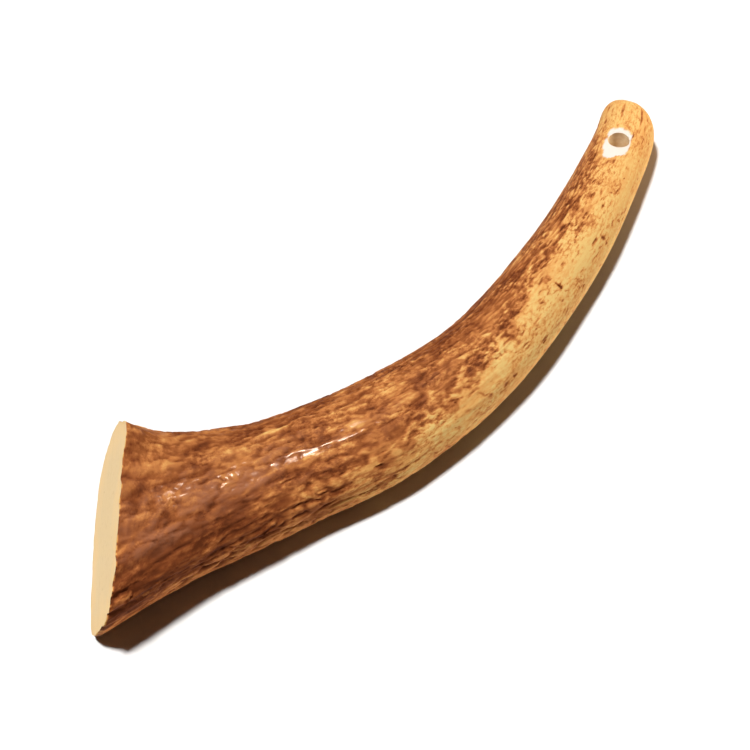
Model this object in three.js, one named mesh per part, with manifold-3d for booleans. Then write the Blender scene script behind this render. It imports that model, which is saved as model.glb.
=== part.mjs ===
import * as THREE from 'three';
import { mergeVertices } from 'three/addons/utils/BufferGeometryUtils.js';
import Module from 'manifold-3d';

// A length of deer antler: the sawn end of the beam flares out at -X, and the blunt tip at +X
// is drilled through for a cord. It lies on its side with +Z up. All sizes are millimetres.

// Where the beam's centreline passes, from the saw cut to the tip, and how wide it is there.
// half: half the width lying down. above and below: how far the section reaches from its
// widest line. roll: how far the section leans over, in degrees. square: 2 is an oval, and
// more is nearer to a rounded box.
const stations = [
  { x: -85.4, y: 4.7, half: 26.0, above: 11.0, below: 17.0, roll: 7.7, square: 3.0 },
  { x: -68.7, y: -2.7, half: 18.1, above: 11.5, below: 15.0, roll: 10.0, square: 2.7 },
  { x: -46.9, y: -10.5, half: 14.7, above: 11.3, below: 12.2, roll: 4.0, square: 2.4 },
  { x: -16.5, y: -19.0, half: 13.9, above: 10.9, below: 10.9, roll: 1.0, square: 2.2 },
  { x: 18.2, y: -21.0, half: 11.8, above: 9.9, below: 9.9, roll: 0.0, square: 2.1 },
  { x: 60.5, y: -12.5, half: 10.1, above: 8.9, below: 8.9, roll: 0.0, square: 2.1 },
  { x: 98.1, y: 1.1, half: 8.6, above: 7.8, below: 7.8, roll: 0.0, square: 2.2 },
  { x: 113.8, y: 9.7, half: 7.6, above: 7.3, below: 7.3, roll: 0.0, square: 2.4 },
];

// The saw cut: which way its face looks, in degrees round +Z from +X and up from level, and
// how far along the beam the sections take to turn from that plane to square across.
const saw = { heading: 137, lean: 19, easing: 62 };

// The rim of the saw cut stands up in one corner, on the inside of the curve: how high, at which
// angle round the section, how far it spreads to each side and how far it runs along the beam.
const corner = { height: 4.5, angle: 52, spread: 18, length: 8 };

// The tip: the length that rounds over, and how blunt it is on the inside and the outside of
// the curve. 2 is a round end, and more is nearer to a flat one.
const tip = { length: 10.3, inside: 5.0, outside: 1.9 };

// The hole through the tip, straight down, as far back from the end of the tip as it says.
const hole = { diameter: 6.0, fromEnd: 19.7, sides: 32 };

// How finely the surface is divided.
const mesh = { sides: 44, beamRings: 46, tipRings: 9 };

const up = new THREE.Vector3(0, 0, 1);

function curveThrough(points) {
  return new THREE.CatmullRomCurve3(points, false, 'catmullrom', 0.5);
}

const centreline = curveThrough(stations.map((s) => new THREE.Vector3(s.x, s.y, 0)));
const heights = curveThrough(stations.map((s) => new THREE.Vector3(s.half, s.above, s.below)));
const forms = curveThrough(stations.map((s) => new THREE.Vector3(s.roll, s.square, 0)));
const beamLength = centreline.getLength();

// The direction from the saw cut into the antler.
function sawDirection() {
  const heading = THREE.MathUtils.degToRad(saw.heading);
  const lean = THREE.MathUtils.degToRad(saw.lean);
  const level = Math.cos(lean);
  return new THREE.Vector3(-level * Math.cos(heading), -level * Math.sin(heading), -Math.sin(lean));
}

// The plane of the section at a share of the beam's length: its sideways and upward directions.
function sectionFrame(along) {
  const ease = Math.max(0, 1 - (along * beamLength) / saw.easing) ** 2;
  const forward = centreline.getTangentAt(along).lerp(sawDirection(), ease).normalize();
  const sideways = new THREE.Vector3().crossVectors(up, forward).normalize();
  const upward = new THREE.Vector3().crossVectors(forward, sideways);
  return { sideways, upward };
}

function signedPower(value, power) {
  return Math.sign(value) * Math.abs(value) ** power;
}

// How much the raised corner adds to the section's height.
function cornerHeight(along, angle) {
  const away = (THREE.MathUtils.radToDeg(angle) - corner.angle) / corner.spread;
  const travelled = (along * beamLength) / corner.length;
  return corner.height * Math.exp(-(away ** 2) - travelled ** 2);
}

// A point of the section's outline at an angle round it, rolled, as (sideways, upward).
function outlinePoint(along, angle) {
  const t = centreline.getUtoTmapping(along);
  const size = heights.getPoint(t);
  const form = forms.getPoint(t);
  const power = 2 / form.y;
  const reach = Math.sin(angle) > 0 ? size.y : size.z;
  const flat = new THREE.Vector2(
    size.x * signedPower(Math.cos(angle), power),
    reach * signedPower(Math.sin(angle), power) + cornerHeight(along, angle),
  );
  return flat.rotateAround(new THREE.Vector2(0, 0), THREE.MathUtils.degToRad(form.x));
}

// How high the centre of the section stands when its lowest point touches the ground.
function centreHeight(along, upward) {
  const angles = Array.from({ length: mesh.sides }, (_, i) => (i * 2 * Math.PI) / mesh.sides);
  return -Math.min(...angles.map((angle) => outlinePoint(along, angle).y * upward.z));
}

// The share of the way out from the middle, once the tip's rounding has drawn it in.
function roundedOver(along, angle, out) {
  const over = 1 - ((1 - along) * beamLength) / tip.length;
  if (over <= 0) return out;
  const blunt = THREE.MathUtils.lerp(tip.outside, tip.inside, (1 + Math.cos(angle)) / 2);
  return (1 - over ** blunt) ** (1 / blunt);
}

// Where a point lies: at a share of the beam's length, an angle round it, and a share of the way
// out from its middle.
function placeOnBeam(along, angle, out) {
  const { sideways, upward } = sectionFrame(along);
  const flat = outlinePoint(along, angle).multiplyScalar(roundedOver(along, angle, out));
  const place = centreline.getPointAt(along);
  place.z = centreHeight(along, upward);
  return place.addScaledVector(sideways, flat.x).addScaledVector(upward, flat.y);
}

// A straight spindle of radius 1 and length 1, with its rings closer together at the tip.
function spindle() {
  const tipShare = tip.length / beamLength;
  const profile = [new THREE.Vector2(0, 0)];
  for (let i = 0; i <= mesh.beamRings; i += 1) {
    profile.push(new THREE.Vector2(1, (i / mesh.beamRings) * (1 - tipShare)));
  }
  for (let i = 1; i < mesh.tipRings; i += 1) {
    const over = Math.sin((i / mesh.tipRings) * Math.PI / 2);
    profile.push(new THREE.Vector2(1, 1 - tipShare * (1 - over)));
  }
  profile.push(new THREE.Vector2(0, 1));
  return new THREE.LatheGeometry(profile, mesh.sides);
}

// The spindle bent onto the beam.
function beamGeometry() {
  const geometry = spindle();
  const position = geometry.attributes.position;
  for (let i = 0; i < position.count; i += 1) {
    const angle = Math.atan2(position.getZ(i), position.getX(i));
    const out = Math.hypot(position.getX(i), position.getZ(i));
    const place = placeOnBeam(position.getY(i), -angle, out);
    position.setXYZ(i, place.x, place.y, place.z);
  }
  return geometry;
}

// The drill: a cylinder standing on the centreline near the tip, longer than the tip is deep.
function drillGeometry() {
  const along = 1 - hole.fromEnd / beamLength;
  const place = centreline.getPointAt(along);
  const middle = centreHeight(along, up);
  const radius = hole.diameter / 2;
  const geometry = new THREE.CylinderGeometry(radius, radius, 4 * middle, hole.sides);
  geometry.rotateX(Math.PI / 2);
  geometry.translate(place.x, place.y, middle);
  return geometry;
}

const wasm = await Module();
wasm.setup();

function toSolid(geometry) {
  geometry.deleteAttribute('normal');
  geometry.deleteAttribute('uv');
  const welded = mergeVertices(geometry, 1e-4);
  return new wasm.Manifold(new wasm.Mesh({
    numProp: 3,
    vertProperties: new Float32Array(welded.attributes.position.array),
    triVerts: new Uint32Array(welded.index.array),
  }));
}

function toGeometry(solid) {
  const result = solid.getMesh();
  const geometry = new THREE.BufferGeometry();
  geometry.setAttribute('position', new THREE.BufferAttribute(result.vertProperties, 3));
  geometry.setIndex(new THREE.BufferAttribute(result.triVerts, 1));
  geometry.computeVertexNormals();
  return geometry;
}

const bark = new THREE.MeshStandardMaterial({ color: 0xb07a45, roughness: 0.5, metalness: 0 });
const antler = new THREE.Mesh(toGeometry(toSolid(beamGeometry()).subtract(toSolid(drillGeometry()))), bark);
antler.name = 'antler';

// The origin is the middle of the antler's box, at the level that it lies on.
antler.geometry.computeBoundingBox();
const box = antler.geometry.boundingBox;
antler.position.set(-(box.min.x + box.max.x) / 2, -(box.min.y + box.max.y) / 2, -box.min.z);

const part = new THREE.Group();
part.add(antler);

export default part;
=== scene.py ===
from math import cos, pi, radians, sin

import bpy
import numpy as np
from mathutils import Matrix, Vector, noise
from mathutils.kdtree import KDTree


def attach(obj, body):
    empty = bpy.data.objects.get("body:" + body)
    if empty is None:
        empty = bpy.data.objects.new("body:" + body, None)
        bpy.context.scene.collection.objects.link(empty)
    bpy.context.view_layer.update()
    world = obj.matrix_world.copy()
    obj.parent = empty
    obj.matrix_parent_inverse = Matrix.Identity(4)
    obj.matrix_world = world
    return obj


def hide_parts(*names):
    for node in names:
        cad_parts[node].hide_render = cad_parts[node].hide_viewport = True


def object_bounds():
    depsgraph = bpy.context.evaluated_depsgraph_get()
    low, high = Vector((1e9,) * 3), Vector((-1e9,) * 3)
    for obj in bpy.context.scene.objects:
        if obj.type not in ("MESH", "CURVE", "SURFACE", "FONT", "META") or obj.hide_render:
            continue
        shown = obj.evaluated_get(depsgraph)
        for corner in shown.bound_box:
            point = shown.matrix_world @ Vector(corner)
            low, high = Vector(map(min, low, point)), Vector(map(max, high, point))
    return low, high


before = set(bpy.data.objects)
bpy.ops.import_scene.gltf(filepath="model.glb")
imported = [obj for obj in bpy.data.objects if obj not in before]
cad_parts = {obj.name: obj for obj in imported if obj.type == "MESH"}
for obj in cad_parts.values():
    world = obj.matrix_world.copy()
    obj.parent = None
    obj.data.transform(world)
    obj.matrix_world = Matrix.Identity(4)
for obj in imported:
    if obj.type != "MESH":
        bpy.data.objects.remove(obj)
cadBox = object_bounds()
scene = bpy.context.scene
mm = 0.001


# The camera stands where it looks down on the beam from the sawn side.
cameraSetup = {
    "azimuth": -46,
    "elevation": 52,
    "distance": 540,
    "lens": 100,
    "lookAt": (-5.07, 4.63, 0),
    "clipStart": 10,
}


def makeCamera(setup):
    turn = radians(setup["azimuth"])
    rise = radians(setup["elevation"])
    back = Vector((sin(turn) * cos(rise), -cos(turn) * cos(rise), sin(rise)))
    lens = bpy.data.cameras.new("camera")
    lens.lens = setup["lens"]
    lens.clip_start = setup["clipStart"] * mm
    camera = bpy.data.objects.new("camera", lens)
    scene.collection.objects.link(camera)
    camera.location = (Vector(setup["lookAt"]) + back * setup["distance"]) * mm
    camera.rotation_euler = (-back).to_track_quat("-Z", "Y").to_euler()
    scene.camera = camera
    print("camera placed")


# One lamp nearly overhead throws the short brown shadow, and the shine only gives the bark its
# highlights. The paper light stands in for what a white ground throws back up at the outer flank,
# so it comes from below and nothing blocks it. A small glow and the world lift the shade.
# "from" is where a light comes from, and "angle" how wide it is, in degrees.
studioSetup = {
    "floorSize": 16000,
    "floorColour": (0.62, 0.617, 0.61),
    "lamp": {"from": (-0.235, 0.105, 1), "angle": 7.5, "strength": 5.6, "colour": (1, 1, 1)},
    "shine": {"from": (0.42, 0.24, 1), "angle": 8, "strength": 4.0, "colour": (1.0, 0.84, 0.70)},
    "paper": {
        "from": (0.826, -0.334, -0.454),
        "angle": 55,
        "strength": 5.1,
        "colour": (0.98, 0.93, 0.86),
    },
    "glow": {
        "place": (160, -30, 40),
        "aim": (100, 0, 0),
        "size": 40,
        "power": 0.031,
        "colour": (0.94, 0.62, 0.38),
    },
    "fillColour": (0.74, 0.40, 0.22),
    "fillStrength": 0.11,
}


def makeFloor(setup):
    half = setup["floorSize"] / 2 * mm
    corners = [(-half, -half, 0), (half, -half, 0), (half, half, 0), (-half, half, 0)]
    mesh = bpy.data.meshes.new("floor")
    mesh.from_pydata(corners, [], [(0, 1, 2, 3)])
    floor = bpy.data.objects.new("floor", mesh)
    scene.collection.objects.link(floor)
    sheet = bpy.data.materials.new("studioPaper")
    sheet.use_nodes = True
    shader = sheet.node_tree.nodes["Principled BSDF"]
    shader.inputs["Base Color"].default_value = (*setup["floorColour"], 1)
    shader.inputs["Roughness"].default_value = 1.0
    shader.inputs["Specular IOR Level"].default_value = 0.0
    mesh.materials.append(sheet)


def makeSun(name, setup):
    data = bpy.data.lights.new(name, "SUN")
    data.energy = setup["strength"]
    data.angle = radians(setup["angle"])
    data.color = setup["colour"]
    sun = bpy.data.objects.new(name, data)
    scene.collection.objects.link(sun)
    sun.location = Vector(setup["from"])
    sun.rotation_euler = sun.location.to_track_quat("Z", "Y").to_euler()
    return sun


def makeGlow(setup):
    # a small warm lamp off to one side, for the shade by the tip
    data = bpy.data.lights.new("glow", "AREA")
    data.shape = "DISK"
    data.size = setup["size"] * mm
    data.energy = setup["power"]
    data.color = setup["colour"]
    glow = bpy.data.objects.new("glow", data)
    scene.collection.objects.link(glow)
    glow.location = Vector(setup["place"]) * mm
    back = glow.location - Vector(setup["aim"]) * mm
    glow.rotation_euler = back.to_track_quat("Z", "Y").to_euler()
    glow.visible_glossy = False
    glow.visible_camera = False


def makeStudio(setup):
    makeFloor(setup)
    lamp = makeSun("lamp", setup["lamp"])
    lamp.visible_glossy = False
    shine = makeSun("shine", setup["shine"])
    shine.visible_diffuse = False
    paper = makeSun("paperLight", setup["paper"])
    paper.data.use_shadow = False
    paper.data.cycles.max_bounces = 0    # it only reaches the beam itself
    paper.visible_glossy = False
    makeGlow(setup["glow"])

    world = bpy.data.worlds.new("studio")
    world.use_nodes = True
    sky = world.node_tree.nodes["Background"]
    sky.inputs["Color"].default_value = (*setup["fillColour"], 1)
    sky.inputs["Strength"].default_value = setup["fillStrength"]
    scene.world = world
    scene.view_settings.view_transform = "Standard"
    print("studio lit")


# The beam's own shape. Each station is a place on the centreline (x, y), half the width, the reach
# above and below the widest line, the roll in degrees and the squareness of the section.
beamShape = {
    "stations": [
        (-85.4, 4.7, 26.0, 11.0, 17.0, 7.7, 3.0),
        (-68.7, -2.7, 18.1, 11.5, 15.0, 10.0, 2.7),
        (-46.9, -10.5, 14.7, 11.3, 12.2, 4.0, 2.4),
        (-16.5, -19.0, 13.9, 10.9, 10.9, 1.0, 2.2),
        (18.2, -21.0, 11.8, 9.9, 9.9, 0.0, 2.1),
        (60.5, -12.5, 10.1, 8.9, 8.9, 0.0, 2.1),
        (98.1, 1.1, 8.6, 7.8, 7.8, 0.0, 2.2),
        (113.8, 9.7, 7.6, 7.3, 7.3, 0.0, 2.4),
    ],
    "sawHeading": 137,       # which way the sawn face looks, round from +X
    "sawLean": 19,           # and how far it looks up
    "sawEasing": 62,         # the sections turn square to the beam over this length
    "corner": {"height": 4.5, "theta": 52, "spread": 18, "length": 8},   # of the rim
    "tipLength": 10.3,
    "tipInside": 5.0,        # how blunt the tip is on each side: 2 is round, more is flatter
    "tipOutside": 1.9,
    "rings": 392,
    "tipRings": 26,
    "sides": 222,
    "faceRings": 10,
    "faceCrowding": 1.4,     # above 1, the sawn face's rings crowd towards its rim
    "grainRadius": 13.0,     # the grain is worked out on a straight rod of this radius
    "curveSamples": 4001,    # along the centreline, to measure its length
    "outlineSamples": 1441,  # round a section, to measure its girth
    "tangentStep": 1e-4,     # as a share of the centreline, to find which way it runs
    "sharpAngle": 62,        # edges sharper than this stay crisp
}
tiny = 1e-9    # keeps a length from being 0 where it divides


def alongCurve(points, t):
    # a Catmull-Rom curve through the points, at t from 0 to 1
    count = len(points)
    place = np.asarray(t) * (count - 1)
    first = np.clip(np.floor(place).astype(int), 0, count - 2)
    share = (place - first)[:, None]
    padded = np.vstack([2 * points[0] - points[1], points, 2 * points[-1] - points[-2]])
    before, start, end, after = (padded[first + i] for i in range(4))
    leave = 0.5 * (end - before)
    arrive = 0.5 * (after - start)
    cubic = (2 * start - 2 * end + leave + arrive) * share ** 3
    square = (-3 * start + 3 * end - 2 * leave - arrive) * share ** 2
    return cubic + square + leave * share + start


def unit(vectors):
    return vectors / np.linalg.norm(vectors, axis=-1, keepdims=True)


def smoothStep(low, high, value):
    share = np.clip((value - low) / (high - low), 0, 1)
    return share * share * (3 - 2 * share)


def signedPower(value, power):
    return np.sign(value) * np.abs(value) ** power


def measureCentreline(shape):
    stations = np.array(shape["stations"])
    t = np.linspace(0, 1, shape["curveSamples"])
    line = alongCurve(stations[:, :2], t)
    steps = np.linalg.norm(np.diff(line, axis=0), axis=1)
    return stations, t, np.concatenate([[0], np.cumsum(steps)])


def sectionOutline(sizes, theta, distance, corner):
    # the unit outline and the real one, in the section's own plane
    half, above, below, roll, square = (sizes[:, i:i + 1] for i in range(5))
    across = signedPower(np.cos(theta), 2 / square)
    upward = signedPower(np.sin(theta), 2 / square)
    wide = half * across
    tall = np.where(upward > 0, above, below) * upward
    away = (np.degrees(theta) - corner["theta"]) / corner["spread"]
    tall = tall + corner["height"] * np.exp(-away ** 2 - (distance[:, None] / corner["length"]) ** 2)
    roll = np.radians(roll)
    sideways = wide * np.cos(roll) - tall * np.sin(roll)
    high = wide * np.sin(roll) + tall * np.cos(roll)
    return across, upward, sideways, high


def layOutBeam(shape):
    # every ring of the smooth beam, with what the grain, the relief and the stain need of it
    stations, t, travelled = measureCentreline(shape)
    length = travelled[-1]
    body = length - shape["tipLength"]
    roundOver = np.sin(np.linspace(0, pi / 2, shape["tipRings"] + 1))[1:]
    distance = np.concatenate([
        np.linspace(0, body, shape["rings"]),
        body + shape["tipLength"] * roundOver[:-1],
    ])
    ringT = np.interp(distance, travelled, t)
    centre = alongCurve(stations[:, :2], ringT)
    ahead = alongCurve(stations[:, :2], np.minimum(ringT + shape["tangentStep"], 1))
    behind = alongCurve(stations[:, :2], np.maximum(ringT - shape["tangentStep"], 0))
    sizes = alongCurve(stations[:, 2:], ringT)

    # the planes of the sections, eased from the saw cut to square across
    heading, lean = radians(shape["sawHeading"]), radians(shape["sawLean"])
    faceNormal = np.array([cos(lean) * cos(heading), cos(lean) * sin(heading), sin(lean)])
    tangent = np.column_stack([unit(ahead - behind), np.zeros(len(distance))])
    ease = (1 - np.clip(distance / shape["sawEasing"], 0, 1))[:, None] ** 2
    forward = unit(tangent * (1 - ease) - faceNormal * ease)
    sideAxis = unit(np.cross([0, 0, 1], forward))
    upAxis = np.cross(forward, sideAxis)

    # vertices at equal steps round each section's girth
    fine = np.linspace(0, 2 * pi, shape["outlineSamples"])[None, :].repeat(len(distance), 0)
    _, _, fineSide, fineHigh = sectionOutline(sizes, fine, distance, shape["corner"])
    girth = np.concatenate([
        np.zeros((len(distance), 1)),
        np.cumsum(np.hypot(np.diff(fineSide, axis=1), np.diff(fineHigh, axis=1)), axis=1),
    ], axis=1)
    shares = np.arange(shape["sides"]) / shape["sides"]
    theta = np.array([np.interp(shares * row[-1], row, fine[0]) for row in girth])
    across, upward, sideways, high = sectionOutline(sizes, theta, distance, shape["corner"])
    centreHeight = -(high * upAxis[:, 2:]).min(axis=1)

    # the tip rounds over, least on the inside of the curve
    over = np.clip((distance - body) / shape["tipLength"], 0, 1)[:, None]
    blunt = shape["tipOutside"] + (shape["tipInside"] - shape["tipOutside"]) * (1 + np.cos(theta)) / 2
    shrink = (1 - over ** blunt) ** (1 / blunt)
    sideways = sideways * shrink
    high = high * shrink

    # which way is out, in the plane of each section
    alongSide = np.roll(sideways, -1, 1) - np.roll(sideways, 1, 1)
    alongHigh = np.roll(high, -1, 1) - np.roll(high, 1, 1)
    outSide, outHigh = alongHigh, -alongSide
    size = np.hypot(outSide, outHigh) + tiny
    outSide, outHigh = outSide / size, outHigh / size
    outward = sideAxis[:, None] * outSide[..., None] + upAxis[:, None] * outHigh[..., None]

    middle = np.column_stack([centre, centreHeight])
    places = middle[:, None] + sideAxis[:, None] * sideways[..., None] + upAxis[:, None] * high[..., None]
    tipEnd = alongCurve(stations[:, :2], [1.0])[0]
    tipPoint = np.array([*tipEnd, centreHeight[-1]])

    # the middle of the smooth beam's box goes to the middle of the CAD's box
    lowest = places.reshape(-1, 3).min(axis=0)
    highest = places.reshape(-1, 3).max(axis=0)
    cadLow, cadHigh = (np.array(corner) / mm for corner in cadBox)
    shift = (cadLow + cadHigh) / 2 - (lowest + highest) / 2
    radius = shape["grainRadius"] * shrink
    alongGrain = distance[:, None].repeat(shape["sides"], 1)
    return {
        "places": places + shift,
        "middle": middle + shift,
        "tip": tipPoint + shift,
        "outward": outward,
        "distance": distance,
        "theta": np.degrees(theta),
        "length": length,
        "grain": np.stack([alongGrain, across * radius, upward * radius], axis=-1),
        "girth": girth[:, -1],
        "shrink": shrink,
    }


# The pattern of each kind of mark: its length along the grain, its width and its seed.
patterns = {
    "swayAcross": (22, 8, 1),
    "swayUp": (22, 8, 2),
    "curlAlong": (3.5, 2.2, 3),
    "curlAcross": (3.5, 2.2, 4),
    "curlUp": (3.5, 2.2, 5),
    "flute": (40, 3.3, 6),
    "furrow": (15, 2.2, 19),
    "ridge": (13, 1.8, 7),
    "worm": (4.2, 1.4, 8),
    "crevice": (7.5, 2.6, 18),
    "lump": (24, 9, 9),
    "fine": (2.0, 0.9, 10),
    "wanderBroad": (26, 8, 11),
    "wanderNarrow": (5, 2.5, 22),
    "patchBroad": (7, 3.4, 12),
    "patchNarrow": (2.3, 1.35, 13),
    "tone": (9, 4.5, 14),
    "mottle": (2.8, 1.4, 15),
    "streak": (13, 0.9, 16),
    "line": (15, 1.2, 20),
    "blotchEdge": (2.4, 1.4, 17),
    "dash": (8.5, 1.1, 21),
    "flakeEdge": (2.4, 1.6, 31),
    "flakeNicks": (0.9, 0.7, 32),
}
creaseWidths = {"flute": 0.50, "ridge": 0.32, "worm": 0.40, "line": 0.30, "crevice": 0.30}
seedShift = np.array([7.31, 3.17, 5.53])    # each seed takes its noise from a place of its own
noiseGain = 1.4                             # brings the noise out to about -1 to 1


def grainNoise(grain, name):
    along, across, seed = patterns[name]
    spots = grain / np.array([along, across, across]) + seed * seedShift
    values = [noise.noise(Vector(spot)) for spot in spots.reshape(-1, 3)]
    return np.array(values).reshape(grain.shape[:-1]) * noiseGain


def creased(grain, name):
    # 0 along thin winding creases and 1 on the crests between them
    return smoothStep(0, creaseWidths[name], np.abs(grainNoise(grain, name)))


# Depths are how far the grooves go in from the crests, at distances along the beam.
relief = {
    "distances": [0, 4, 15, 40, 75, 105, 140, 175, 209],
    "flutes":    [1.70, 0.95, 0.34, 0.16, 0.12, 0.10, 0.08, 0.06, 0.03],
    "furrows":   [0.15, 0.45, 0.55, 0.45, 0.30, 0.20, 0.12, 0.08, 0.04],
    "ridges":    [0.06, 0.30, 0.36, 0.32, 0.24, 0.18, 0.11, 0.07, 0.04],
    "worms":     [0.00, 0.17, 0.27, 0.32, 0.27, 0.17, 0.10, 0.07, 0.04],
    "crevices":  [0.15, 0.35, 0.60, 0.60, 0.25, 0.05, 0.00, 0.00, 0.00],
    "lumps":     [0.20, 0.25, 0.28, 0.30, 0.30, 0.28, 0.24, 0.20, 0.12],
    "fine":      [0.01, 0.04, 0.05, 0.05, 0.06, 0.06, 0.05, 0.04, 0.03],
    "outset":    [0.80, 0.60, 0.40, 0.36, 0.34, 0.28, 0.20, 0.14, 0.08],
    "sway": 1.1,                 # how far the marks bend, in long bends and in short curls
    "curl": (1.1, 0.7, 0.7),
    "fluteSway": 0.6,            # the shares of those bends that the longer marks follow
    "furrowCurl": 0.5,
    "ridgeCurl": 0.6,
    "creviceSide": (158, 172),   # only the flank that faces outwards and down is cracked like this
    "creviceFull": 0.4,          # this deep, the crevices are fully stained
    "flutedFrom": (56, 72),      # the rim is fluted between these angles round it
    "flutedTo": (158, 176),
    "calmRim": 0.25,             # the share of the flutes that is left elsewhere
    "paleShare": 0.35,           # the share of the ridges that is left where the bark is worn off
    "polishedCalm": 0.65,        # how much the polished crests lose of their finest relief
    "inset": 0.05,               # the whole surface starts this far inside the smooth beam
    "boxEasing": 1.6,            # crests sink this close to the sides of the solid's box
    "tipFade": (0.05, 0.6),      # the relief dies out where the tip draws in this far
}

# One round bead of bark stands at the rim, a little sunk at its edge, with a ditch round it.
rimBead = {
    "distance": 2.4,
    "theta": 151,
    "radius": 2.1,
    "sunk": 0.5,
    "ditchDepth": 0.8,
    "ditchAway": 0.35,
    "ditchWidth": 0.45,
    "stain": 0.44,
    "edgeStain": 0.3,
    "ditchStain": 0.24,
}

# Where the brown bark ends towards the worn side, in degrees round from the inside of the curve:
# inside "solid" it's all brown, and past "outer" it's all pale. The levels run from 0, pale
# bone, to 1, the darkest bark.
stainMap = {
    "distances": [0, 30, 45, 60, 80, 105, 140, 170, 190, 209],
    "solid":     [174, 150, 130, 104, 84, 70, 52, 36, 10, -40],
    "outer":     [192, 184, 182, 180, 170, 152, 126, 112, 88, 56],
    "upper":     [0.51, 0.48, 0.43, 0.46, 0.45, 0.47, 0.42, 0.38, 0.34, 0.26],
    "lower":     [0.82, 0.71, 0.59, 0.46, 0.49, 0.48, 0.42, 0.38, 0.34, 0.26],
    # near the base the pale bone is painted darker than further along, partly its own tone and partly painted
    # shade on the lower flank there
    "pale":      [0.44, 0.42, 0.33, 0.22, 0.16, 0.12, 0.09, 0.08, 0.09, 0.09],
    "furrows":   [0.06, 0.08, 0.08, 0.08, 0.07, 0.05, 0.03, 0.02, 0.01, 0.00],
    "streaks":   [0.04, 0.04, 0.04, 0.03, 0.04, 0.07, 0.12, 0.12, 0.10, 0.06],
    "lines":     [0.00, 0.00, 0.01, 0.01, 0.03, 0.10, 0.24, 0.26, 0.20, 0.10],
    "mottle":    [0.06, 0.08, 0.09, 0.10, 0.08, 0.06, 0.05, 0.05, 0.04, 0.04],
    "grainy":    [0.70, 0.72, 0.78, 0.88, 1.00, 1.20, 1.20, 1.10, 0.95, 0.85],
    # painted sheen: how strong the mauve band of painted highlight is along the beam
    "paintedSheen":    [0.90, 0.90, 0.75, 0.50, 0.25, 0.10, 0.05, 0.00, 0.00, 0.00],
    "inner":     [-0.14, 0.14, 0.16, 0.22, 0.11, 0.11, 0.07, 0.00, 0.00, 0.00],
    "paintedSheenAt": (104, 17),       # the middle and the width of the painted mauve sheen band
    "innerEnds": (50, 85),
    "lowerStarts": (98, 116),
    "middle": 20,
    "wander": (10, 7),           # broad and narrow bends of the border, in degrees
    "polished": {
        "distance": 41, "theta": 98, "turning": 0.2, "length": 25, "width": 5.5,
        "dashes": (-0.15, 0.30), "crests": (0.3, 0.8),
    },
    "groove": {"flute": 0.30, "ridge": 0.70, "worm": 0.40},    # how dark each kind of groove is
    "patch": {"border": 1.15, "spread": 0.38, "broad": 0.7, "narrow": 1.5, "worm": 0.4, "rest": -0.10},
    "patchEdge": 0.26,           # smaller makes crisper edges of the bark's patches
    "mottleEdge": 0.4,           # and smaller makes crisper mottles
    # how much darker each mark makes the bark and the pale bone
    "barkDark": {"groove": 0.31, "rest": -0.09, "tone": 0.13, "lineRest": 0.25},
    "paleDark": {"groove": 0.24, "tone": 0.07, "streak": 0.04},
    # how unevenly the painted sheen lies
    "paintedSheenBy": {"rest": 0.6, "furrow": 0.4, "tone": 0.5, "mottle": 0.3},
    "creviceDark": 0.34,
    "blotchEdge": (0.45, 1.15),
    "blotchRagged": 0.55,
}

# Single blotches: distance along, degrees round, half their length and half their width, and how
# much darker (or lighter, below 0) they are.
blotches = [
    (20, 66, 7, 2.2, 0.16), (37, 67, 4, 2.0, 0.10), (10, 76, 6, 4.0, -0.10), (28, 75, 5, 3.0, -0.13),
    (45, 66, 4, 3.0, -0.09), (78, 72, 6, 3.0, -0.09), (33, 133, 5, 2.5, -0.16), (45, 140, 5, 2.5, -0.15),
    (9, 163, 4, 3.0, -0.14), (20, 155, 11, 2.2, -0.16), (4, 157, 5, 2.4, -0.14), (168, 82, 8, 3.0, 0.10),
    (25, 140, 10, 5.0, 0.06), (47, 172, 5, 4.0, 0.22), (33, 170, 4, 3.0, 0.15),
    (72, 143, 2.6, 1.8, 0.30), (62, 165, 2.2, 1.6, 0.20), (60, 133, 2.4, 1.6, 0.18), (66, 150, 2, 1.6, 0.2),
    (87, 133, 2.4, 1.8, 0.28), (93, 125, 2.4, 1.6, 0.16), (99, 117, 2.6, 1.8, 0.24), (83, 92, 4, 3.0, 0.10),
    (100, 66, 10, 5.0, 0.08), (80, 147, 4, 3.0, -0.12), (113, 112, 4, 3.0, 0.15), (120, 100, 5, 2.0, 0.12),
    (145, 83, 14, 1.0, 0.20), (157, 112, 2, 2.5, 0.18), (172, 115, 3, 2.5, 0.12), (139, 150, 2, 2.0, 0.14),
    (190, 128, 3, 3.0, 0.08), (165, 65, 10, 4.0, 0.08), (127, 72, 8, 4.0, 0.08), (191, 60, 6, 3.0, 0.10),
    (80, 132, 5, 2.2, -0.12), (106, 125, 5, 3.5, -0.16), (84, 160, 7, 3.5, -0.12), (89, 126, 4, 2.0, -0.08),
    (125, 118, 6, 4.0, -0.08), (150, 128, 9, 4.0, -0.08), (160, 96, 5, 1.2, 0.14), (178, 62, 5, 2.0, 0.12),
]

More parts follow.
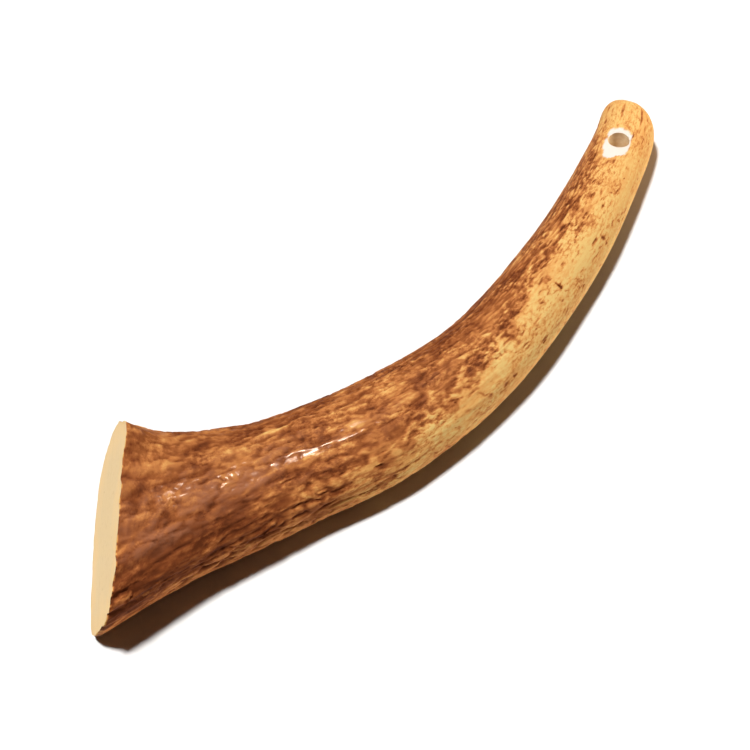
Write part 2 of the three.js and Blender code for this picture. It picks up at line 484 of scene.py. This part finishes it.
# Short open cracks: distance along, degrees round, length, tilt off the grain, width, depth, and
# how dark each one is.
cracks = [
    {"distance": 21.0, "theta": 179.5, "length": 5.0, "tilt": 6, "width": 0.50, "depth": 0.8, "dark": 0.9},
    {"distance": 16.0, "theta": 181.0, "length": 3.0, "tilt": 10, "width": 0.42, "depth": 0.6, "dark": 0.9},
    {"distance": 42.5, "theta": 168.0, "length": 4.0, "tilt": 4, "width": 0.40, "depth": 0.4, "dark": 0.7},
    {"distance": 50.0, "theta": 172.5, "length": 5.0, "tilt": -5, "width": 0.40, "depth": 0.4, "dark": 0.7},
    {"distance": 133.3, "theta": 125.5, "length": 3.0, "tilt": 84, "width": 0.42, "depth": 0.2, "dark": 0.95},
    {"distance": 155.7, "theta": 145.5, "length": 2.2, "tilt": 60, "width": 0.45, "depth": 0.2, "dark": 0.95},
    {"distance": 164.1, "theta": 116.0, "length": 1.2, "tilt": 10, "width": 0.42, "depth": 0.2, "dark": 0.8},
    {"distance": 201.5, "theta": 81.0, "length": 9.0, "tilt": 3, "width": 0.30, "depth": 0.2, "dark": 0.4},
    {"distance": 201.0, "theta": 115.5, "length": 8.0, "tilt": -4, "width": 0.34, "depth": 0.2, "dark": 0.5},
    {"distance": 193.0, "theta": 86.5, "length": 1.0, "tilt": 0, "width": 0.35, "depth": 0.1, "dark": 0.35},
]


def acrossFrom(beam, theta):
    # how far round the surface each vertex is from this angle, in millimetres
    radius = beam["girth"][:, None] / (2 * pi)
    turn = (beam["theta"] - theta + 180) % 360 - 180
    return np.radians(turn) * radius


def crackMask(beam, crack):
    along = beam["distance"][:, None] - crack["distance"]
    across = acrossFrom(beam, crack["theta"])
    tilt = radians(crack["tilt"])
    run = along * cos(tilt) + across * sin(tilt)
    off = across * cos(tilt) - along * sin(tilt)
    taper = np.clip(1 - (2 * run / crack["length"]) ** 2, 0, 1)
    endWidth = 0.35    # as a share of the width at its middle
    width = crack["width"] * (endWidth + (1 - endWidth) * taper)
    return np.exp(-(off / width) ** 2) * np.sqrt(taper)


# The drilled hole, and the pale patch where the surface flaked away round its mouth. The patch's
# corners are along and across from the middle of the hole.
drilling = {
    "diameter": 6.0,
    "fromEnd": 19.7,
    "theta": 91,
    "flakeDepth": 0.3,
    "flakeCorners": [(3.9, -3.2), (5.4, 1.7), (0.2, 3.1), (-4.6, 2.9), (-7.7, -1.3), (-4.2, -3.2)],
    "flakeRagged": 0.55,     # how uneven the patch's edge is, in broad bends and in small nicks
    "flakeNicked": 0.2,
    "flakeEdge": 0.15,       # and how soft
    "sides": 72,
    "drillLength": 60,
}


def flakeMask(beam, setup):
    along = beam["distance"][:, None] - (beam["length"] - setup["fromEnd"])
    across = acrossFrom(beam, setup["theta"])
    corners = setup["flakeCorners"]
    inside = np.full(across.shape, np.inf)
    for (startAlong, startAcross), (endAlong, endAcross) in zip(corners, corners[1:] + corners[:1]):
        run, rise = endAlong - startAlong, endAcross - startAcross
        offset = (across - startAcross) * run - (along - startAlong) * rise
        inside = np.minimum(inside, offset / np.hypot(run, rise))
    ragged = grainNoise(beam["grain"], "flakeEdge") * setup["flakeRagged"]
    ragged = ragged + grainNoise(beam["grain"], "flakeNicks") * setup["flakeNicked"]
    onTop = np.abs(beam["theta"] - setup["theta"]) < 90
    return smoothStep(-setup["flakeEdge"], setup["flakeEdge"], inside + ragged) * onTop


def bySection(beam, name, table):
    return np.interp(beam["distance"], table["distances"], table[name])[:, None]


def drawMarks(beam):
    # every kind of groove and mark, laid along grain that sways and curls
    grain = beam["grain"]
    still = np.zeros(grain.shape[:-1])
    sway = np.stack([
        still,
        grainNoise(grain, "swayAcross") * relief["sway"],
        grainNoise(grain, "swayUp") * relief["sway"],
    ], axis=-1)
    curlAlong, curlAcross, curlUp = relief["curl"]
    curl = np.stack([
        grainNoise(grain, "curlAlong") * curlAlong,
        grainNoise(grain, "curlAcross") * curlAcross,
        grainNoise(grain, "curlUp") * curlUp,
    ], axis=-1)
    marks = {
        "flute": creased(grain + sway * relief["fluteSway"], "flute"),
        "furrow": grainNoise(grain + sway + curl * relief["furrowCurl"], "furrow"),
        "ridge": creased(grain + sway + curl * relief["ridgeCurl"], "ridge"),
        "worm": creased(grain + sway + curl, "worm"),
        "crevice": creased(grain + sway + curl, "crevice"),
        "lump": grainNoise(grain, "lump"),
        "fine": grainNoise(grain, "fine"),
        "wanderBroad": grainNoise(grain, "wanderBroad"),
        "wanderNarrow": grainNoise(grain + curl, "wanderNarrow"),
        "patchBroad": grainNoise(grain, "patchBroad"),
        "patchNarrow": grainNoise(grain + curl, "patchNarrow"),
        "tone": grainNoise(grain, "tone"),
        "mottle": grainNoise(grain + curl, "mottle"),
        "streak": grainNoise(grain + sway, "streak"),
        "line": 1 - creased(grain + sway, "line"),
        "blotchEdge": grainNoise(grain + curl, "blotchEdge"),
        "dash": grainNoise(grain + sway, "dash"),
    }
    shares = stainMap["groove"]
    groove = (1 - marks["flute"]) * shares["flute"] + (1 - marks["ridge"]) * shares["ridge"]
    marks["groove"] = np.clip(groove + (1 - marks["worm"]) * shares["worm"], 0, 1)
    edge = stainMap["mottleEdge"]
    marks["mottle"] = 2 * smoothStep(-edge, edge, marks["mottle"]) - 1
    print("ridges drawn")
    return marks


def stainBark(beam, marks, turn):
    # how brown: bark on the inside of the curve, worn to pale bone on the outside
    bark = 1 - smoothStep(bySection(beam, "solid", stainMap), bySection(beam, "outer", stainMap), turn)
    share = stainMap["patch"]
    spread = marks["patchBroad"] * share["broad"] + marks["patchNarrow"] * share["narrow"]
    patch = (bark - 0.5) * share["border"] + spread * share["spread"]
    patch = patch + (1 - marks["worm"]) * share["worm"] + share["rest"]
    patch = smoothStep(-stainMap["patchEdge"], stainMap["patchEdge"], patch)

    upper = bySection(beam, "upper", stainMap)
    lower = bySection(beam, "lower", stainMap)
    dark = stainMap["barkDark"]
    brown = upper + (lower - upper) * smoothStep(*stainMap["lowerStarts"], turn)
    brown = brown + bySection(beam, "inner", stainMap) * (1 - smoothStep(*stainMap["innerEnds"], turn))
    brown = brown + dark["groove"] * marks["groove"] + dark["rest"] + dark["tone"] * marks["tone"]
    brown = brown + bySection(beam, "mottle", stainMap) * marks["mottle"]
    brown = brown + bySection(beam, "streaks", stainMap) * marks["streak"]
    brown = brown - bySection(beam, "furrows", stainMap) * marks["furrow"]
    brown = brown + bySection(beam, "lines", stainMap) * (marks["line"] - dark["lineRest"])

    dark = stainMap["paleDark"]
    pale = bySection(beam, "pale", stainMap) + dark["groove"] * marks["groove"] * np.sqrt(bark)
    pale = pale + dark["tone"] * marks["tone"] + dark["streak"] * marks["streak"]
    stain = patch * brown + (1 - patch) * pale

    ragged = marks["blotchEdge"] * stainMap["blotchRagged"]
    for distance, theta, length, width, change in blotches:
        along = (beam["distance"][:, None] - distance) / length
        away = np.hypot(along, acrossFrom(beam, theta) / width)
        stain = stain + change * (1 - smoothStep(*stainMap["blotchEdge"], away + ragged))
    print("bark stained")
    return stain, patch


def polishCrests(beam, marks):
    # the crests that stick up most are polished by handling: calmer, and glossy in dashes
    worn = stainMap["polished"]
    away = beam["distance"][:, None] - worn["distance"]
    aside = (beam["theta"] - worn["theta"] - worn["turning"] * away) / worn["width"]
    reach = np.exp(-aside ** 2 - (away / worn["length"]) ** 4)
    calm = 1 - relief["polishedCalm"] * reach
    dashes = smoothStep(*worn["dashes"], marks["dash"])
    return calm, reach * dashes * smoothStep(*worn["crests"], 1 - marks["groove"])


def paintSheen(beam, marks, turn):
    # a band of painted sheen: the crests along it are painted a duller, mauve brown, standing in for the
    # highlight's broad glow
    middle, width = stainMap["paintedSheenAt"]
    paintedSheen = np.exp(-((turn - middle) / width) ** 2) * bySection(beam, "paintedSheen", stainMap)
    by = stainMap["paintedSheenBy"]
    uneven = by["rest"] + sum(by[name] * marks[name] for name in ("furrow", "tone", "mottle"))
    return np.clip(paintedSheen * uneven, 0, 1) * (1 - marks["groove"])


def carveBark(beam, marks, patch, calm, cracked):
    # how deep every groove goes
    ridged = relief["paleShare"] + (1 - relief["paleShare"]) * patch
    theta = beam["theta"]
    facing = smoothStep(*relief["flutedFrom"], theta) * (1 - smoothStep(*relief["flutedTo"], theta))
    fluted = relief["calmRim"] + (1 - relief["calmRim"]) * facing
    return (
        bySection(beam, "flutes", relief) * (1 - marks["flute"]) * fluted
        + bySection(beam, "furrows", relief) * (0.5 - 0.5 * marks["furrow"])
        + bySection(beam, "ridges", relief) * (1 - marks["ridge"]) * ridged
        + bySection(beam, "worms", relief) * (1 - marks["worm"]) * ridged * calm
        + bySection(beam, "crevices", relief) * cracked
        + bySection(beam, "lumps", relief) * (0.5 - 0.5 * marks["lump"])
        + bySection(beam, "fine", relief) * (0.5 - 0.5 * marks["fine"]) * calm
    )


def raiseBead(beam, bead, depth, stain):
    away = np.hypot(beam["distance"][:, None] - bead["distance"], acrossFrom(beam, bead["theta"]))
    dome = np.sqrt(np.clip(1 - (away / bead["radius"]) ** 2, 0, 1))
    ditch = np.exp(-((away - bead["radius"] - bead["ditchAway"]) / bead["ditchWidth"]) ** 2)
    around = 1 - np.clip(dome * 2, 0, 1)
    depth = depth * around + bead["sunk"] * (1 - dome) * (dome > 0) + bead["ditchDepth"] * ditch
    beadStain = bead["stain"] + bead["edgeStain"] * (1 - dome)
    return depth, np.where(dome > 0, beadStain, stain + bead["ditchStain"] * ditch)


def ageSurface(beam):
    # relief, and the stain that goes with it
    marks = drawMarks(beam)
    turn = np.abs((beam["theta"] - stainMap["middle"] + 180) % 360 - 180) + stainMap["middle"]
    broad, narrow = stainMap["wander"]
    turn = turn + broad * marks["wanderBroad"] + narrow * marks["wanderNarrow"]
    stain, patch = stainBark(beam, marks, turn)

    cracked = (1 - marks["crevice"]) * smoothStep(*relief["creviceSide"], turn)
    cracked = cracked * np.clip(bySection(beam, "crevices", relief) / relief["creviceFull"], 0, 1)
    stain = stain + stainMap["creviceDark"] * cracked
    calm, polish = polishCrests(beam, marks)
    depth = carveBark(beam, marks, patch, calm, cracked)
    depth, stain = raiseBead(beam, rimBead, depth, stain)
    for crack in cracks:
        mask = crackMask(beam, crack)
        depth = depth + crack["depth"] * mask
        stain = stain + crack["dark"] * mask

    flake = flakeMask(beam, drilling)
    depth = depth + drilling["flakeDepth"] * flake
    fade = smoothStep(*relief["tipFade"], beam["shrink"])
    return {
        "depth": depth * fade,
        "outset": bySection(beam, "outset", relief) * fade,
        "stain": np.clip(stain, 0, 1),
        "grainy": bySection(beam, "grainy", stainMap).repeat(beam["theta"].shape[1], 1),
        "paintedSheen": paintSheen(beam, marks, turn),
        "polish": polish,
        "flake": flake,
    }


def roughenBeam(beam, age):
    # grooves go in and crests stand out, but nowhere past the solid's box
    cadLow, cadHigh = (np.array(corner) / mm for corner in cadBox)
    places = beam["places"]
    room = np.minimum(places - cadLow, cadHigh - places).min(axis=-1)
    standing = age["outset"] * smoothStep(0, relief["boxEasing"], room)
    rough = places + beam["outward"] * (standing - age["depth"] - relief["inset"])[..., None]
    return np.clip(rough, cadLow, cadHigh)


def sawnFaceRings(rim, shape):
    # rings from the rim of the saw cut in to its middle, with their shares of the rim's size
    centre = rim.mean(axis=0)
    steps = np.arange(1, shape["faceRings"]) / shape["faceRings"]
    shares = [1.0, *(1 - steps ** shape["faceCrowding"])]
    rings = [rim, *(centre + (rim - centre) * share for share in shares[1:])]
    return rings, shares, centre


surfaceNames = ("stain", "grainy", "paintedSheen", "polish", "flake")
finishSlots = {"antlerBark": 0, "sawnBone": 1, "drilledBone": 2}
wellInside = 9.0    # millimetres from the sawn face's edge, past where the rim's colour ends


def storeValues(mesh, name, parts):
    attribute = mesh.attributes.new(name, "FLOAT", "POINT")
    attribute.data.foreach_set("value", np.concatenate([np.ravel(part) for part in parts]))


def quadsBetween(near, far, sides):
    # one band of faces between the rings of vertices that start at these numbers
    turn = np.arange(sides)
    following = (turn + 1) % sides
    return np.column_stack([near + turn, near + following, far + following, far + turn])


def trianglesTo(ring, point, sides):
    turn = np.arange(sides)
    return np.column_stack([ring + turn, ring + (turn + 1) % sides, np.full(sides, point)])


def makeBeam(shape):
    beam = layOutBeam(shape)
    age = ageSurface(beam)
    sides = shape["sides"]
    places = roughenBeam(beam, age)
    ringCount = len(places)
    tipIndex = ringCount * sides
    vertices = [places.reshape(-1, 3), beam["tip"][None]]
    grain = [beam["grain"].reshape(-1, 3), np.array([[beam["length"], 0, 0]])]
    edge = [np.full(tipIndex + 1, wellInside)]
    values = {name: [age[name], age[name][-1].mean()] for name in surfaceNames}
    faces = []
    for ring in range(ringCount - 1):
        faces += quadsBetween(ring * sides, (ring + 1) * sides, sides).tolist()
    faces += trianglesTo((ringCount - 1) * sides, tipIndex, sides).tolist()
    barkFaces = len(faces)

    # the sawn face has a rim of its own, so that its edge stays crisp
    rings, shares, centre = sawnFaceRings(places[0], shape)
    reach = np.linalg.norm(places[0] - centre, axis=1)
    start = tipIndex + 1
    for share, ring in zip(shares, rings):
        vertices.append(ring)
        edge.append(reach * (1 - share))
        grain.append(beam["grain"][0] * [1, share, share])
    for ring in range(len(rings) - 1):
        near = start + ring * sides
        faces += quadsBetween(near, near + sides, sides)[:, [1, 0, 3, 2]].tolist()
    inner = start + (len(rings) - 1) * sides
    middle = inner + sides
    faces += trianglesTo(inner, middle, sides)[:, [1, 0, 2]].tolist()
    vertices.append(centre[None])
    edge.append(reach.min())
    grain.append(np.zeros((1, 3)))
    for name in values:
        values[name].append(np.zeros(len(rings) * sides + 1))

    allPlaces = np.vstack(vertices)
    mesh = bpy.data.meshes.new("antlerBeam")
    mesh.from_pydata((allPlaces * mm).tolist(), [], faces)
    mesh.polygons.foreach_set("use_smooth", np.ones(len(faces), dtype=bool))
    for name, parts in values.items():
        storeValues(mesh, name, parts)
    storeValues(mesh, "edge", edge)
    attribute = mesh.attributes.new("grain", "FLOAT_VECTOR", "POINT")
    attribute.data.foreach_set("vector", np.vstack(grain).ravel())
    for material in (barkMaterial(), sawnMaterial(), drilledMaterial()):
        mesh.materials.append(material)
    slots = np.full(len(faces), finishSlots["antlerBark"], dtype=np.int32)
    slots[barkFaces:] = finishSlots["sawnBone"]
    mesh.polygons.foreach_set("material_index", slots)
    mesh.update()
    antler = bpy.data.objects.new("antlerBeam", mesh)
    scene.collection.objects.link(antler)
    print("beam built:", len(allPlaces), "vertices")
    return antler, beam


def drillHole(antler, beam, setup):
    # a real hole, cut straight down, whose wall takes the drilled finish
    at = beam["length"] - setup["fromEnd"]
    ring = int(np.abs(beam["distance"] - at).argmin())
    bpy.ops.mesh.primitive_cylinder_add(
        vertices=setup["sides"],
        radius=setup["diameter"] / 2 * mm,
        depth=setup["drillLength"] * mm,
        location=tuple(beam["middle"][ring] * mm),
    )
    drill = bpy.context.object
    drill.data.materials.append(antler.data.materials[finishSlots["drilledBone"]])
    cut = antler.modifiers.new("drill", "BOOLEAN")
    cut.operation = "DIFFERENCE"
    cut.solver = "EXACT"
    cut.object = drill
    cut.material_mode = "TRANSFER"
    before = antler.data.copy()
    baked = bpy.data.meshes.new_from_object(antler.evaluated_get(bpy.context.evaluated_depsgraph_get()))
    antler.modifiers.clear()
    antler.data = baked
    baked.name = "antlerBeam"
    bpy.data.objects.remove(drill)
    carryGrain(before, baked)
    baked.set_sharp_from_angle(angle=radians(beamShape["sharpAngle"]))
    print("hole drilled:", len(baked.polygons), "faces")


def carryGrain(before, after):
    # new vertices at the hole's mouth take the grain and stain of the bark beside them
    tree = KDTree(len(before.vertices))
    for vertex in before.vertices:
        tree.insert(vertex.co, vertex.index)
    tree.balance()
    nearest = [tree.find(vertex.co)[1] for vertex in after.vertices]
    for name in (*surfaceNames, "edge"):
        old = np.empty(len(before.vertices), dtype=np.float32)
        before.attributes[name].data.foreach_get("value", old)
        after.attributes[name].data.foreach_set("value", old[nearest])
    old = np.empty(len(before.vertices) * 3, dtype=np.float32)
    before.attributes["grain"].data.foreach_get("vector", old)
    after.attributes["grain"].data.foreach_set("vector", old.reshape(-1, 3)[nearest].ravel())


# Colours are linear red, green and blue, from the palest bone to the darkest bark.
barkFinish = {
    "stops": [
        (0.00, (0.545, 0.370, 0.130)),
        (0.18, (0.52, 0.265, 0.079)),
        (0.38, (0.37, 0.138, 0.040)),
        (0.58, (0.225, 0.070, 0.020)),
        (0.78, (0.135, 0.036, 0.0105)),
        (1.00, (0.072, 0.018, 0.0055)),
    ],
    # the mauve colour of the painted sheen
    "paintedSheenColour": (0.265, 0.105, 0.053),
    "flakeColour": (0.55, 0.52, 0.465),
    "speckleGrain": (1.5, 0.9, 4.0, 0.65),    # length, width, detail and roughness of the noise
    "streakGrain": (9.0, 0.9, 3.0, 0.5),
    "pitGrain": (1.1, 0.6, 2.0, 0.55),
    "clusterGrain": (12.0, 6.0, 2.0, 0.5),
    "clusterLeast": 0.25,    # the share of the specks that is left between their clusters
    "speckle": 0.22,         # how dark each kind of mark is
    "pits": 0.20,
    "streak": 0.05,
    # the share of the painted sheen that is left between the specks
    "paintedSheenLeast": 0.4,
    "gloss": (0.30, 0.62),   # roughness where it's polished and where it isn't
    "glossSpeckle": 0.05,
    "flakeDull": 0.2,
    "specular": 0.04,
    "specularTint": (1.0, 0.72, 0.5),
    "coat": 0.7,
    "coatRoughness": 0.2,
    "bump": 0.00012,
    "bumpStrength": 0.8,
    "pitBump": 0.5,
    "threads": 5.0,          # fine ridges that split the highlights on the polished crests
    "polishedSpeckle": 0.3,
}


def startMaterial(name):
    material = bpy.data.materials.new(name)
    material.use_nodes = True
    nodes = material.node_tree.nodes
    links = material.node_tree.links
    return material, nodes, links, nodes["Principled BSDF"]


def readAttribute(nodes, name):
    node = nodes.new("ShaderNodeAttribute")
    node.attribute_name = name
    return node


def colourRamp(nodes, links, value, stops):
    ramp = nodes.new("ShaderNodeValToRGB")
    ramp.color_ramp.elements[0].position = stops[0][0]
    ramp.color_ramp.elements[1].position = stops[-1][0]
    for position, _ in stops[1:-1]:
        ramp.color_ramp.elements.new(position)
    for element, (_, colour) in zip(ramp.color_ramp.elements, stops):
        element.color = (*colour, 1)
    links.new(value, ramp.inputs["Fac"])
    return ramp.outputs["Color"]


def grainTexture(nodes, links, along, across, detail, rough, upward=None):
    # noise laid along the grain, with features of about this size in millimetres
    place = readAttribute(nodes, "grain")
    stretch = nodes.new("ShaderNodeMapping")
    stretch.inputs["Scale"].default_value = (1 / along, 1 / across, 1 / (upward or across))
    texture = nodes.new("ShaderNodeTexNoise")
    texture.inputs["Scale"].default_value = 1.0
    texture.inputs["Detail"].default_value = detail
    texture.inputs["Roughness"].default_value = rough
    links.new(place.outputs["Vector"], stretch.inputs["Vector"])
    links.new(stretch.outputs["Vector"], texture.inputs["Vector"])
    return texture.outputs["Fac"]


def remap(nodes, links, value, low, high, toLow, toHigh):
    node = nodes.new("ShaderNodeMapRange")
    node.inputs["From Min"].default_value = low
    node.inputs["From Max"].default_value = high
    node.inputs["To Min"].default_value = toLow
    node.inputs["To Max"].default_value = toHigh
    links.new(value, node.inputs["Value"])
    return node.outputs["Result"]


def combine(nodes, links, operation, first, second):
    node = nodes.new("ShaderNodeMath")
    node.operation = operation
    for socket, value in zip(node.inputs, (first, second)):
        if isinstance(value, (int, float)):
            socket.default_value = value
        else:
            links.new(value, socket)
    return node.outputs["Value"]


def mixColour(nodes, links, factor, first, second):
    node = nodes.new("ShaderNodeMix")
    node.data_type = "RGBA"
    links.new(factor, node.inputs["Factor"])
    for socket, value in ((node.inputs[6], first), (node.inputs[7], second)):
        if isinstance(value, tuple):
            socket.default_value = (*value, 1)
        else:
            links.new(value, socket)
    return node.outputs[2]


def addBump(nodes, links, shader, height, distance, strength):
    bump = nodes.new("ShaderNodeBump")
    bump.inputs["Distance"].default_value = distance
    bump.inputs["Strength"].default_value = strength
    links.new(height, bump.inputs["Height"])
    links.new(bump.outputs["Normal"], shader.inputs["Normal"])


def barkMaterial():
    material, nodes, links, shader = startMaterial("antlerBark")
    finish = barkFinish
    stain, grainy, paintedSheen, polish, flake = (
        readAttribute(nodes, name).outputs["Fac"] for name in surfaceNames
    )
    speckle = grainTexture(nodes, links, *finish["speckleGrain"])
    streak = grainTexture(nodes, links, *finish["streakGrain"])
    pits = grainTexture(nodes, links, *finish["pitGrain"])
    cluster = grainTexture(nodes, links, *finish["clusterGrain"])

    # specks, streaks and pits darken the stain, thickest where the worn bone is grainy
    cluster = remap(nodes, links, cluster, 0.38, 0.62, finish["clusterLeast"], 1.0)
    cluster = combine(nodes, links, "MULTIPLY", cluster, grainy)
    specks = remap(nodes, links, speckle, 0.36, 0.64, -finish["speckle"], finish["speckle"])
    shade = combine(nodes, links, "ADD", stain, combine(nodes, links, "MULTIPLY", specks, cluster))
    lines = remap(nodes, links, streak, 0.3, 0.7, -finish["streak"], finish["streak"])
    shade = combine(nodes, links, "ADD", shade, lines)
    pitMask = combine(nodes, links, "MULTIPLY", remap(nodes, links, pits, 0.58, 0.68, 0, 1), cluster)
    shade = combine(nodes, links, "ADD", shade, combine(nodes, links, "MULTIPLY", pitMask, finish["pits"]))
    colour = colourRamp(nodes, links, shade, finish["stops"])
    # painted sheen: a mauve colour mixed over the crests of its band, standing in for the highlight's broad
    # glow
    uneven = remap(nodes, links, speckle, 0.35, 0.65, finish["paintedSheenLeast"], 1.0)
    sheenAmount = combine(nodes, links, "MULTIPLY", paintedSheen, uneven)
    colour = mixColour(nodes, links, sheenAmount, colour, finish["paintedSheenColour"])
    colour = mixColour(nodes, links, flake, colour, finish["flakeColour"])
    links.new(colour, shader.inputs["Base Color"])

    smooth, rough = finish["gloss"]
    gloss = remap(nodes, links, polish, 0, 1, rough, smooth)
    uneven = remap(nodes, links, speckle, 0.3, 0.7, -finish["glossSpeckle"], finish["glossSpeckle"])
    gloss = combine(nodes, links, "ADD", gloss, uneven)
    dull = combine(nodes, links, "MULTIPLY", flake, finish["flakeDull"])
    links.new(combine(nodes, links, "ADD", gloss, dull), shader.inputs["Roughness"])
    shader.inputs["Specular IOR Level"].default_value = finish["specular"]
    shader.inputs["Specular Tint"].default_value = (*finish["specularTint"], 1)
    links.new(combine(nodes, links, "MULTIPLY", polish, finish["coat"]), shader.inputs["Coat Weight"])
    shader.inputs["Coat Roughness"].default_value = finish["coatRoughness"]

    ridged = remap(nodes, links, polish, 0, 1, 0, finish["threads"])
    threads = combine(nodes, links, "MULTIPLY", streak, ridged)
    calm = remap(nodes, links, polish, 0, 1, 1, finish["polishedSpeckle"])
    height = combine(nodes, links, "MULTIPLY", speckle, calm)
    sunk = combine(nodes, links, "MULTIPLY", pitMask, -finish["pitBump"])
    height = combine(nodes, links, "ADD", height, sunk)
    height = combine(nodes, links, "ADD", height, threads)
    addBump(nodes, links, shader, height, finish["bump"], finish["bumpStrength"])
    return material


sawnFinish = {
    "pale": (0.62, 0.43, 0.19),
    "middle": (0.575, 0.42, 0.205),
    "middleFrom": (2, 9),            # between these distances from the edge, in millimetres
    "rim": (0.56, 0.30, 0.075),
    "rimWidth": (0.15, 0.9),
    "scored": (0.50, 0.34, 0.15),    # the marks that the saw left, and how strong they are
    "scoring": 0.35,
    "pore": (0.42, 0.27, 0.12),      # pores, only well inside the rim
    "porous": 0.45,
    "poresFrom": (4, 9),
    "cloudGrain": (6, 4, 3.0, 0.5),
    "dotGrain": (1, 0.75, 2.0, 0.5),
    "fineGrain": (0.5, 0.35, 2.0, 0.6),
    "scoreGrain": (1, 34, 2.0, 0.6, 0.55),
    "roughness": 0.6,
    "bump": 0.00006,
    "bumpStrength": 0.6,
    "scoreBump": 1.5,
}


def sawnMaterial():
    material, nodes, links, shader = startMaterial("sawnBone")
    finish = sawnFinish
    edge = readAttribute(nodes, "edge").outputs["Fac"]
    cloud = grainTexture(nodes, links, *finish["cloudGrain"])
    fine = grainTexture(nodes, links, *finish["fineGrain"])
    drift = combine(nodes, links, "ADD", edge, remap(nodes, links, cloud, 0.3, 0.7, -3, 3))
    deep = remap(nodes, links, drift, *finish["middleFrom"], 0, 1)
    colour = mixColour(nodes, links, deep, finish["pale"], finish["middle"])
    ragged = combine(nodes, links, "ADD", edge, remap(nodes, links, cloud, 0.3, 0.7, -0.15, 0.25))
    rim = remap(nodes, links, ragged, *finish["rimWidth"], 1, 0)
    colour = mixColour(nodes, links, rim, colour, finish["rim"])
    sawMarks = grainTexture(nodes, links, *finish["scoreGrain"])
    scored = remap(nodes, links, sawMarks, 0.5, 0.72, 0, finish["scoring"])
    colour = mixColour(nodes, links, scored, colour, finish["scored"])
    dots = grainTexture(nodes, links, *finish["dotGrain"])
    dots = remap(nodes, links, dots, 0.60, 0.70, 0, finish["porous"])
    inside = remap(nodes, links, edge, *finish["poresFrom"], 0, 1)
    pores = combine(nodes, links, "MULTIPLY", dots, inside)
    colour = mixColour(nodes, links, pores, colour, finish["pore"])
    links.new(colour, shader.inputs["Base Color"])
    shader.inputs["Roughness"].default_value = finish["roughness"]
    height = combine(nodes, links, "MULTIPLY", sawMarks, finish["scoreBump"])
    height = combine(nodes, links, "ADD", height, fine)
    addBump(nodes, links, shader, height, finish["bump"], finish["bumpStrength"])
    return material


drilledFinish = {
    "pale": (0.92, 0.74, 0.48),
    "dark": (0.80, 0.58, 0.33),
    "grainPerMetre": 700,
    "detail": 3,
    "roughness": 0.6,
    "bump": 0.0002,
    "bumpStrength": 0.6,
}


def drilledMaterial():
    material, nodes, links, shader = startMaterial("drilledBone")
    finish = drilledFinish
    place = nodes.new("ShaderNodeTexCoord")
    texture = nodes.new("ShaderNodeTexNoise")
    texture.inputs["Scale"].default_value = finish["grainPerMetre"]
    texture.inputs["Detail"].default_value = finish["detail"]
    links.new(place.outputs["Object"], texture.inputs["Vector"])
    mask = remap(nodes, links, texture.outputs["Fac"], 0.35, 0.7, 0, 1)
    links.new(mixColour(nodes, links, mask, finish["pale"], finish["dark"]), shader.inputs["Base Color"])
    shader.inputs["Roughness"].default_value = finish["roughness"]
    addBump(nodes, links, shader, texture.outputs["Fac"], finish["bump"], finish["bumpStrength"])
    return material


makeCamera(cameraSetup)
makeStudio(studioSetup)
antler, beam = makeBeam(beamShape)
drillHole(antler, beam, drilling)
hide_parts("antler")
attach(antler, "root")
